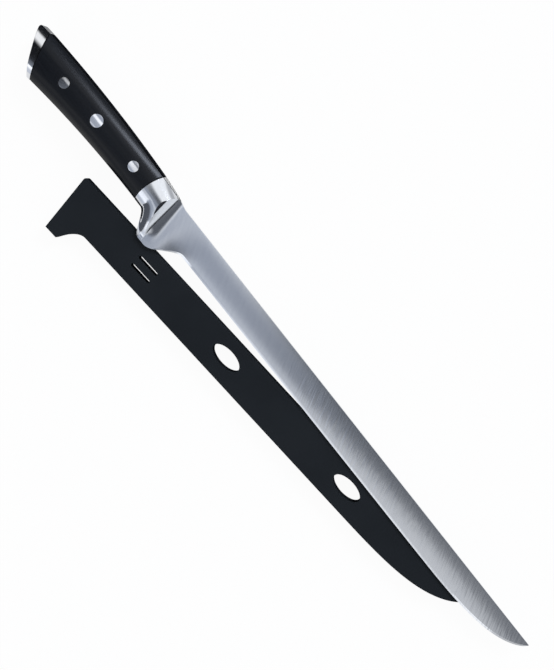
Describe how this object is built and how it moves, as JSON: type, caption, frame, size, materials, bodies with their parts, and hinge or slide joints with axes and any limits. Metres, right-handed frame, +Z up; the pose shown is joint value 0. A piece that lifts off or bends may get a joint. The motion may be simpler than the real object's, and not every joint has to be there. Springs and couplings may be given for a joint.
{
  "type": "ham knife",
  "caption": "Long narrow ham slicing knife with a polished bolster, riveted black handle and steel end cap, lying across its flat black blade sheath.",
  "frame": {"origin": "middle of the knife and sheath together, on the surface that they lie on", "axes": "+X along the blade towards its tip, +Y from the cutting edge to the spine, +Z up from the surface"},
  "size_m": [0.423, 0.07, 0.02],
  "materials": {
    "blade_steel": "satin ground blade, mirror polished bolster",
    "cap_steel": "mirror polished",
    "rivet_steel": "polished flush",
    "scale_black": "semi-gloss black resin-bonded laminate",
    "sheath_black": "matt, fine moulded grain"
  },
  "bodies": {
    "knife": {"blade": "blade_steel", "end_cap": "cap_steel", "handle_scale_right": "scale_black", "handle_scale_left": "scale_black", "front_rivet_cup": "rivet_steel", "front_rivet_pin": "rivet_steel", "middle_rivet_cup": "rivet_steel", "middle_rivet_pin": "rivet_steel", "butt_rivet_cup": "rivet_steel", "butt_rivet_pin": "rivet_steel"},
    "sheath": {"sheath_front_plate": "sheath_black", "sheath_back_plate": "sheath_black", "sheath_spine_welt": "sheath_black", "sheath_edge_welt": "sheath_black"}
  },
  "joints": [
    {"name": "sheath_slide", "type": "slide", "parent": "knife", "child": "sheath", "axis": [0.9971, 0.0755, 0], "range_m": [0, 0.36]}
  ]
}
